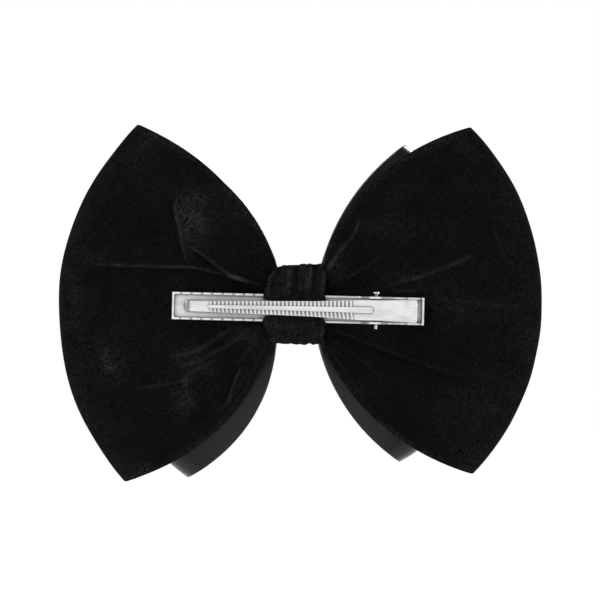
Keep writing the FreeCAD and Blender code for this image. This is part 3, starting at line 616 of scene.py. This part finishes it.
def make_lining():
    """Charcoal stiffening felt inside the loops."""
    made, tree, shader = new_material("lining")
    where = place_node(tree)
    fibres = noise_node(tree, where, 1100.0, 3.0, 0.7)
    mats = noise_node(tree, where, 180.0, 2.0, 0.5)
    level = math_node(tree, "ADD", range_node(tree, fibres, 0.3, 0.7, 0.004, 0.012),
                      range_node(tree, mats, 0.3, 0.7, 0.0, 0.004))
    tree.links.new(grey_node(tree, level), shader.inputs["Base Color"])
    shader.inputs["Roughness"].default_value = 0.95
    shader.inputs["Specular IOR Level"].default_value = 0.08
    tree.links.new(bump_node(tree, fibres, 0.5, 0.0004), shader.inputs["Normal"])
    return made


def make_thread():
    """Black twisted thread."""
    made, tree, shader = new_material("thread")
    where = place_node(tree)
    twist = tree.nodes.new("ShaderNodeTexWave")
    twist.wave_type = "BANDS"
    twist.bands_direction = "DIAGONAL"
    twist.inputs["Scale"].default_value = 900.0
    twist.inputs["Distortion"].default_value = 1.0
    tree.links.new(where, twist.inputs["Vector"])
    level = range_node(tree, twist.outputs["Fac"], 0.0, 1.0, 0.006, 0.02)
    tree.links.new(grey_node(tree, level), shader.inputs["Base Color"])
    shader.inputs["Roughness"].default_value = 0.6
    tree.links.new(bump_node(tree, twist.outputs["Fac"], 0.6, 0.0001), shader.inputs["Normal"])
    return made


def make_glue():
    """Milky hot-melt glue."""
    made, tree, shader = new_material("glue")
    where = place_node(tree)
    cloud = noise_node(tree, where, 300.0, 2.0, 0.5)
    level = range_node(tree, cloud, 0.3, 0.7, 0.55, 0.72)
    tree.links.new(grey_node(tree, level, (1.0, 0.97, 0.88)), shader.inputs["Base Color"])
    tree.links.new(range_node(tree, cloud, 0.3, 0.7, 0.25, 0.45), shader.inputs["Roughness"])
    shader.inputs["Subsurface Weight"].default_value = 0.3
    shader.inputs["Subsurface Radius"].default_value = (0.001, 0.001, 0.0008)
    tree.links.new(bump_node(tree, cloud, 0.3, 0.0005), shader.inputs["Normal"])
    return made


METAL_EDGE = 0.00004               # radius of a softened edge, in metres
SPECK_DARK = 0.0875                # how much darker a handling mark is
CREVICE_SHADE_REACH = 0.0007             # how far the painted shade looks for a wall in a crevice, in metres
CHANNEL_SHADE_REACH = 0.0045             # and beside the lever and the flanges


def hollow_shade_node(tree, reach, low, high, darkest):
    """Painted shade: 1 in the open, and down to darkest where walls within reach close in."""
    hollow = tree.nodes.new("ShaderNodeAmbientOcclusion")
    hollow.samples = 8
    hollow.inputs["Distance"].default_value = reach
    return range_node(tree, hollow.outputs["AO"], low, high, darkest, 1.0)


def make_metal(name, colour, rough_low, rough_high, stretch):
    """Plated steel: drawing lines, soft streaks, handling marks, painted shade in hollows and softened edges.
    """
    made, tree, shader = new_material(name)
    where = place_node(tree)
    lines = noise_node(tree, where, 5200.0, 2.0, 0.6, stretch)
    smudge = noise_node(tree, where, 260.0, 3.0, 0.6)
    specks = noise_node(tree, where, 2400.0, 2.0, 0.6)
    rough = math_node(tree, "ADD", range_node(tree, smudge, 0.35, 0.7, rough_low, rough_high),
                      math_node(tree, "MULTIPLY", math_node(tree, "SUBTRACT", lines, 0.5), 0.08))
    tree.links.new(math_node(tree, "MAXIMUM", rough, 0.05), shader.inputs["Roughness"])
    streaks = noise_node(tree, where, 420.0, 2.0, 0.5, (0.04, 1.0, 1.0))
    tone = math_node(tree, "MULTIPLY", range_node(tree, smudge, 0.3, 0.75, 1.0, 0.95),
                     range_node(tree, streaks, 0.34, 0.60, 0.84, 1.0))
    spots = range_node(tree, specks, 0.68, 0.78, 1.0, 1.0 - SPECK_DARK)
    # painted shade, darker in crevices and in the channel beside the lever and the flanges
    painted_hollow_shade = math_node(tree, "MULTIPLY", hollow_shade_node(tree, CREVICE_SHADE_REACH, 0.35, 0.95, 0.50),
                      hollow_shade_node(tree, CHANNEL_SHADE_REACH, 0.45, 0.97, 0.15))
    tone = math_node(tree, "MULTIPLY", math_node(tree, "MULTIPLY", tone, painted_hollow_shade), spots)
    tree.links.new(grey_node(tree, tone, colour), shader.inputs["Base Color"])
    shader.inputs["Metallic"].default_value = 1.0
    bevel = tree.nodes.new("ShaderNodeBevel")
    bevel.samples = 4
    bevel.inputs["Radius"].default_value = METAL_EDGE
    normal = bump_node(tree, lines, 0.03, 0.00005, bevel.outputs["Normal"])
    tree.links.new(normal, shader.inputs["Normal"])
    return made


velvet = make_velvet()
satin = make_satin()
lining = make_lining()
thread = make_thread()
glue = make_glue()
bright = make_metal("clip_nickel", (0.88, 0.88, 0.89), 0.10, 0.15, (0.04, 1.0, 1.0))
pin_metal = make_metal("pin_steel", (0.80, 0.80, 0.81), 0.14, 0.24, (1.0, 1.0, 0.1))
spring_metal = make_metal("spring_steel", (0.62, 0.62, 0.64), 0.22, 0.34, (1.0, 1.0, 0.05))

# ---------------------------------------------------------------- loops and their linings

# Steps along the back panel, the fold and the front panel, and then steps across.
GRIDS = {"rear": ((170, 26, 70), 230), "front": ((80, 26, 120), 150)}


def make_loop(name):
    """One cloth loop. It returns the piece and its middle surface."""
    tier, side = LOOPS[name]["tier"], LOOPS[name]["side"]
    counts, columns = GRIDS[tier]
    middle, painted_sheen = shaped_loop(name, along_steps(*counts), int(columns * FINE))
    piece = sheet_object("cloth_" + name, middle, TIERS[tier]["cloth"], side, painted_sheen)
    paint(piece, velvet if tier == "rear" else satin)
    ride_for(piece, name)
    return piece, middle


def make_loop_lining(name, piece, middle):
    """The felt inside a loop, which keeps the loop's folds a little further in, on a coarser grid."""
    tier, side = LOOPS[name]["tier"], LOOPS[name]["side"]
    rows = np.arange(0, middle.shape[0], 2)
    across = np.linspace(-1.0, 1.0, middle.shape[1])
    keep = np.where(np.abs(across) < LINING_WIDE)[0][::2]
    inset = int(LINING_INSET * middle.shape[0])
    rows = rows[(rows >= inset) & (rows < middle.shape[0] - inset)]
    inward = -side * unit(np.cross(np.gradient(middle, axis=0), np.gradient(middle, axis=1)))
    inner = middle + inward * (TIERS[tier]["cloth"] / 2 + LINING_GAP + LINING / 2)
    lining_name = name.replace("loop", "lining")
    backing = sheet_object("felt_" + lining_name, inner[np.ix_(rows, keep)], LINING, side, arc=2)
    paint(backing, lining)
    ride_for(backing, lining_name)


for loop_name in LOOPS:
    make_loop_lining(loop_name, *make_loop(loop_name))


# ---------------------------------------------------------------- closed paths round the middle

ROUND_POINTS = 9                   # points that first lay out each rounded corner


def rounded_path(corners, radii, spacing):
    """An evenly spaced closed path in Y and Z with rounded corners."""
    corners = [np.array(c, float) for c in corners]
    dense = []
    for k, corner in enumerate(corners):
        before = unit(corners[k - 1] - corner)
        after = unit(corners[(k + 1) % len(corners)] - corner)
        half_angle = math.acos(float(np.clip(before @ after, -1, 1))) / 2
        back = radii[k] / math.tan(half_angle)
        centre = corner + unit(before + after) * radii[k] / math.sin(half_angle)
        first, last = corner + before * back - centre, corner + after * back - centre
        for t in np.linspace(0, 1, ROUND_POINTS):
            dense.append(centre + unit(first * (1 - t) + last * t) * radii[k])
    dense.append(dense[0])
    dense = np.array(dense)
    done = np.concatenate([[0], np.cumsum(np.linalg.norm(np.diff(dense, axis=0), axis=1))])
    count = int(done[-1] / spacing)
    at = np.linspace(0, done[-1], count, endpoint=False)
    return np.stack([np.interp(at, done, dense[:, 0]), np.interp(at, done, dense[:, 1])], -1)


def path_normals(path):
    """Outward normals of a closed path in Y and Z."""
    way = unit(np.roll(path, -1, 0) - np.roll(path, 1, 0))
    normal = np.stack([way[:, 1], -way[:, 0]], -1)
    if ((path - path.mean(0)) * normal).sum() < 0:
        normal = -normal
    return normal


BAND_CORNERS = [(-1.45, -4.9), (1.0, -10.8), (19.5, -10.8), (19.5, 13.4), (1.0, 13.4), (-1.45, 4.9)]
BAND_RADII = [1.6, 1.6, 2.2, 2.2, 1.6, 1.6]
BAND_HALF = 8.0                    # half the band's width, to the middle of its edges
BAND_SPREAD = 2.4                  # how much wider its left side is drawn out over the clip
BAND_LEAN = 0.7                    # how much its upper edge rises to the right
BAND_LOW, BAND_HIGH = -0.6, 0.42   # its folds stay between these heights


def band_folds(across, turn, facing, upper):
    """The band's lengthwise folds, which are flatter below the clip and at the band's edges."""
    folds = 0.20 * np.sin(across * 8.5 + 1.2 * np.sin(turn * 2 + 0.5))
    folds = folds + 0.14 * np.sin(across * 17.0 + 2.5 * np.sin(turn + 1.0) + 1.0)
    folds = folds + 0.10 * np.sin(across * 30.0 + 1.5 * np.sin(3 * turn))
    return folds * (1 - 0.75 * facing * (1 - upper)) * (1 - 0.6 * np.abs(across) ** 4)


def band_spread(path, normal):
    """How far the band's left edge is drawn out: beside the lever, and less away from the clip."""
    up = path[:, 1]
    drawn = np.clip(np.minimum((12.8 - up) / 7.5, (up + 11.5) / 6.5), 0, 1)
    return BAND_SPREAD * smooth(np.abs(up), 1.9, 2.8) * drawn * np.clip(-normal[:, 0], 0, 1)


def make_band():
    """The velvet band round both tiers and the clip's base, as one closed ring."""
    path = rounded_path(BAND_CORNERS, BAND_RADII, 0.45 / FINE)
    normal = path_normals(path)
    round_at = np.linspace(0, 2 * math.pi, len(path), endpoint=False)
    across, turn = np.meshgrid(np.linspace(-1.0, 1.0, int(54 * FINE)), round_at)
    edge_wave = 0.22 * np.sin(11 * turn + 0.7) + 0.15 * np.sin(23 * turn + 2.1) + 0.1 * np.sin(5 * turn)
    spread = band_spread(path, normal)[:, None]
    wide = across * BAND_HALF + np.sign(across) * np.abs(across) ** 6 * edge_wave
    wide = wide - np.clip(-across, 0, 1) ** 2 * spread
    upper = smooth(path[:, 1], 3.0, 7.0)[:, None]
    folds = band_folds(across, turn, np.clip(-normal[:, 0], 0, 1)[:, None], upper)
    height = np.clip(folds - 0.35 * np.abs(across) ** 3, BAND_LOW, BAND_HIGH)
    height = np.where(path[:, 0][:, None] < 0.0, np.minimum(height, 0.0), height)   # room for the lever
    lean = BAND_LEAN * across * smooth(path[:, 1], 6.0, 12.0)[:, None]
    middle = np.stack([
        wide,
        path[:, 0][:, None] + normal[:, 0][:, None] * height,
        path[:, 1][:, None] + normal[:, 1][:, None] * height + lean], -1)
    # painted light: paler on the crests of the folds, more so on the upper part, and paler at the edges as
    # sheen
    painted_sheen = 0.35 + 0.6 * np.clip(folds, -0.3, 0.3) / 0.3 * (0.3 + 0.7 * upper) + 0.3 * (np.abs(across) > 0.9)
    painted_sheen = np.stack([painted_sheen, np.zeros_like(painted_sheen)], -1)
    band = sheet_object("cloth_centre_band", middle, BAND_CLOTH, 1, painted_sheen, closed=True)
    paint(band, velvet)
    ride_for(band, "centre_band")


make_band()

GATHER_HALF = 6.2                  # half the length of a gathered middle
GATHER_END = 0.15                  # how far its ends bulge
GATHER_SHEEN = (0.2, 0.0)            # its painted sheen, even all over, and no crease highlight


def gathered_middle(name, node, back, front, pleats, material):
    """The pleated cloth under the band, drawn in by the thread. It returns the path round it."""
    low, high = PINCH_CENTRE - PINCH_HALF, PINCH_CENTRE + PINCH_HALF
    path = rounded_path([(back, low), (front, low), (front, high), (back, high)], [1.6] * 4, 0.5 / FINE)
    normal = path_normals(path)
    width = np.linspace(-GATHER_HALF, GATHER_HALF, int(40 * FINE))
    along, turn = np.meshgrid(width, np.linspace(0, 2 * math.pi, len(path), endpoint=False))
    waist = -0.75 * np.exp(-(along / 1.9) ** 2)
    pleat = 0.28 * np.sin(pleats * turn + 0.25 * np.sin(along)) - 0.35
    deep = waist + pleat * (1 - 0.5 * np.exp(-(along / 1.6) ** 2))
    middle = np.stack([along, path[:, 0][:, None] + normal[:, 0][:, None] * deep,
                       path[:, 1][:, None] + normal[:, 1][:, None] * deep], -1)
    ring = middle.transpose(1, 0, 2)
    rows, columns = ring.shape[:2]
    points = ring.reshape(-1, 3)
    index = np.arange(rows * columns).reshape(rows, columns)
    beside = np.roll(index, -1, 1)
    faces = np.stack([index[:-1], beside[:-1], beside[1:], index[1:]], -1).reshape(-1, 4).tolist()
    tips = []
    for row, x in ((0, width[0] - GATHER_END), (rows - 1, width[-1] + GATHER_END)):
        tip = ring[row].mean(0)
        tip[0] = x
        spot = len(points) + len(tips)
        tips.append(tip)
        for c in range(columns):
            faces.append([int(index[row, c]), int(index[row, (c + 1) % columns]), spot])
    points = np.concatenate([points, np.array(tips)])
    piece = mesh_object(name, points, faces, np.full((len(points), 2), GATHER_SHEEN))
    paint(piece, material)
    ride_for(piece, node)
    return path, normal


THREAD_TURNS = 5
THREAD_HALF = 1.1                  # half the length that the turns cover
THREAD_RADIUS = 0.24
THREAD_SIDES = 8
THREAD_SUNK, THREAD_SWAY = 0.62, 0.05     # how deep in the cloth the thread lies, and how much it wavers


def wound_thread(name, node, path, normal):
    """Thread wound tightly round a gathered middle, as one closed tube."""
    count = len(path)
    total = count * THREAD_TURNS
    k = np.arange(total + 1)
    x = -THREAD_HALF + 2 * THREAD_HALF * k / total
    spot = path[k % count] + normal[k % count] * (-THREAD_SUNK - THREAD_SWAY * np.sin(k * 0.37))[:, None]
    line = np.stack([x, spot[:, 0], spot[:, 1]], -1)
    tangent = unit(np.gradient(line, axis=0))
    side = unit(np.cross(tangent, np.array([1.0, 0.0, 0.0])))
    up = np.cross(side, tangent)
    turn = np.arange(THREAD_SIDES) * 2 * math.pi / THREAD_SIDES
    around = np.cos(turn)[None, :, None] * side[:, None] + np.sin(turn)[None, :, None] * up[:, None]
    rings = line[:, None] + THREAD_RADIUS * around
    rows = len(line)
    index = np.arange(rows * THREAD_SIDES).reshape(rows, THREAD_SIDES)
    beside = np.roll(index, -1, 1)
    faces = np.stack([index[:-1], beside[:-1], beside[1:], index[1:]], -1).reshape(-1, 4).tolist()
    faces += [index[0].tolist(), index[-1].tolist()]
    piece = mesh_object(name, rings.reshape(-1, 3), faces)
    paint(piece, thread)
    ride_for(piece, node)


rear_path, rear_normal = gathered_middle("gathered_velvet", "rear_pinch", 1.6, 10.6, 19, velvet)
front_path, front_normal = gathered_middle("gathered_satin", "front_pinch", 11.2, 18.8, 17, satin)
wound_thread("wound_thread_rear", "rear_thread", rear_path, rear_normal)
wound_thread("wound_thread_front", "front_thread", front_path, front_normal)

GLUE_RINGS, GLUE_AROUND = 12, 48
GLUE_FLAT = 0.35                   # the lower this is, the flatter the two faces
GLUE_SQUARE = 0.45                 # the lower this is, the squarer the outline


def glue_bead(name, node, low, high, seed):
    """A pressed bead of glue: flat on both faces, with a rounded uneven rim."""
    low, high = np.array(low), np.array(high)
    centre, half = (low + high) / 2, (high - low) / 2
    points, faces = [], []
    for r in range(GLUE_RINGS + 1):
        tip = math.pi * r / GLUE_RINGS - math.pi / 2
        for c in range(GLUE_AROUND):
            turn = 2 * math.pi * c / GLUE_AROUND
            rim = 1 - 0.04 * (1 + math.sin(3 * turn + seed)) - 0.03 * (1 + math.sin(7 * turn + 2 * seed))
            out = max(math.cos(tip), 0.0) ** GLUE_FLAT * rim
            wide = math.copysign(abs(math.cos(turn)) ** GLUE_SQUARE, math.cos(turn))
            tall = math.copysign(abs(math.sin(turn)) ** GLUE_SQUARE, math.sin(turn))
            points.append(centre + half * np.array([wide * out, math.sin(tip), tall * out]))
    for r in range(GLUE_RINGS):
        for c in range(GLUE_AROUND):
            a, b = r * GLUE_AROUND + c, r * GLUE_AROUND + (c + 1) % GLUE_AROUND
            faces.append([a, b, b + GLUE_AROUND, a + GLUE_AROUND])
    piece = mesh_object(name, np.array(points), faces)
    work = bmesh.new()
    work.from_mesh(piece.data)
    bmesh.ops.remove_doubles(work, verts=work.verts, dist=WELD)
    bmesh.ops.recalc_face_normals(work, faces=work.faces)
    work.to_mesh(piece.data)
    work.free()
    paint(piece, glue)
    ride_for(piece, node)


glue_bead("glue_under_clip", "clip_glue", (-7.4, 0.62, -3.5), (7.4, 1.48, 3.5), 1.3)
glue_bead("glue_between_tiers", "tier_glue", (-7.4, 10.72, -7.4), (7.4, 11.08, 10.0), 2.6)

# ---------------------------------------------------------------- clip

for name, metal in (("clip_base", bright), ("clip_lever", bright), ("hinge_pin", pin_metal)):
    node = nodes[name]
    if not node.material_slots:
        node.data.materials.append(metal)
    for slot in node.material_slots:
        slot.link = "OBJECT"
        slot.material = metal


SPRING_CUTS = 24


def make_spring():
    """The leaf spring from its CAD shape, cut finely enough to bend."""
    source = nodes["leaf_spring"]
    work = bmesh.new()
    work.from_mesh(source.data)
    work.transform(source.matrix_world)
    bmesh.ops.remove_doubles(work, verts=work.verts, dist=WELD)
    low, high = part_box("leaf_spring")
    for k in range(1, SPRING_CUTS):
        y = low[1] + (high[1] - low[1]) * k / SPRING_CUTS
        geometry = work.verts[:] + work.edges[:] + work.faces[:]
        bmesh.ops.bisect_plane(work, geom=geometry, plane_co=(0, y, 0), plane_no=(0, 1, 0))
    mesh = bpy.data.meshes.new("spring_strip")
    work.to_mesh(mesh)
    work.free()
    piece = bpy.data.objects.new("spring_strip", mesh)
    bpy.context.scene.collection.objects.link(piece)
    paint(piece, spring_metal)
    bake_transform(piece)
    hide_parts("leaf_spring")


make_spring()

# ---------------------------------------------------------------- floor, light and camera

FLOOR_DEPTH = 0.120                # metres below the bow's middle
FLOOR_HALF = 3.0
FLOOR_GLOW = 0.56                  # keeps the floor as white as the background


def make_floor():
    """A plain white floor."""
    corners = ((-1, -1), (1, -1), (1, 1), (-1, 1))
    mesh = bpy.data.meshes.new("floor")
    mesh.from_pydata([(FLOOR_HALF * x, FLOOR_HALF * y, -FLOOR_DEPTH) for x, y in corners], [], [(0, 1, 2, 3)])
    floor = bpy.data.objects.new("floor", mesh)
    bpy.context.scene.collection.objects.link(floor)
    material, _, shader = new_material("floor_white")
    shader.inputs["Base Color"].default_value = (0.9, 0.9, 0.9, 1.0)
    shader.inputs["Roughness"].default_value = 0.9
    shader.inputs["Emission Color"].default_value = WHITE
    shader.inputs["Emission Strength"].default_value = FLOOR_GLOW
    mesh.materials.append(material)


make_floor()

WORLD_LOW, WORLD_HIGH = 0.10, 0.55        # how bright the world is below and above, for all but the camera


def make_world():
    """A white background that lights the bow more from above than from below."""
    world = bpy.data.worlds.new("studio")
    bpy.context.scene.world = world
    world.use_nodes = True
    tree = world.node_tree
    background = tree.nodes["Background"]
    seen = tree.nodes.new("ShaderNodeLightPath")
    around = tree.nodes.new("ShaderNodeTexCoord")
    split = tree.nodes.new("ShaderNodeSeparateXYZ")
    tree.links.new(around.outputs["Generated"], split.inputs[0])
    sky = range_node(tree, split.outputs["Z"], -0.5, 0.8, WORLD_LOW, WORLD_HIGH)
    strength = tree.nodes.new("ShaderNodeMix")
    strength.data_type = "FLOAT"
    tree.links.new(seen.outputs["Is Camera Ray"], strength.inputs["Factor"])
    tree.links.new(sky, strength.inputs["A"])
    strength.inputs["B"].default_value = 1.0
    tree.links.new(strength.outputs["Result"], background.inputs["Strength"])
    background.inputs["Color"].default_value = WHITE


make_world()


def area_light(name, spot, size, power):
    """A rectangular lamp that faces the bow's middle. Its place and size are in metres."""
    light = bpy.data.lights.new(name, "AREA")
    light.shape = "RECTANGLE"
    light.size, light.size_y = size
    light.energy = power
    made = bpy.data.objects.new(name, light)
    made.location = spot
    made.rotation_mode = "QUATERNION"
    made.rotation_quaternion = (-Vector(spot)).to_track_quat("-Z", "Y")
    bpy.context.scene.collection.objects.link(made)


area_light("softbox", (-0.70, -1.66, 0.08), (2.16, 0.85), 3.4)
area_light("key", (-0.55, -0.45, 0.75), (0.25, 0.25), 7.0)
area_light("side", (0.9, -0.25, 0.15), (0.2, 0.5), 3.0)
area_light("show_key", (0.5, 0.8, 0.6), (0.4, 0.4), 12.0)
area_light("show_fill", (-0.7, 0.7, 0.1), (0.5, 0.6), 5.0)

TILT = math.radians(1.41)          # the camera's roll
FIELD = 0.1897                     # width of the picture at the bow, in metres
DISTANCE = 1.5
SENSOR = 36.0                      # in millimetres
AIM = (0.00057, 0.0, 0.0027)


def make_camera():
    """The camera, which looks along +Y at the bow's back."""
    data = bpy.data.cameras.new("camera")
    data.sensor_width = SENSOR
    data.lens = SENSOR * DISTANCE / FIELD
    data.clip_start, data.clip_end = 0.05, 50.0
    camera = bpy.data.objects.new("camera", data)
    right = Vector((math.cos(TILT), 0, math.sin(TILT)))
    up = Vector((-math.sin(TILT), 0, math.cos(TILT)))
    back = Vector((0, -1, 0))
    camera.rotation_mode = "QUATERNION"
    camera.rotation_quaternion = Matrix((right, up, back)).transposed().to_quaternion()
    camera.location = Vector(AIM) + back * DISTANCE
    bpy.context.scene.collection.objects.link(camera)
    bpy.context.scene.camera = camera
    bpy.context.scene.view_settings.view_transform = "Standard"


make_camera()
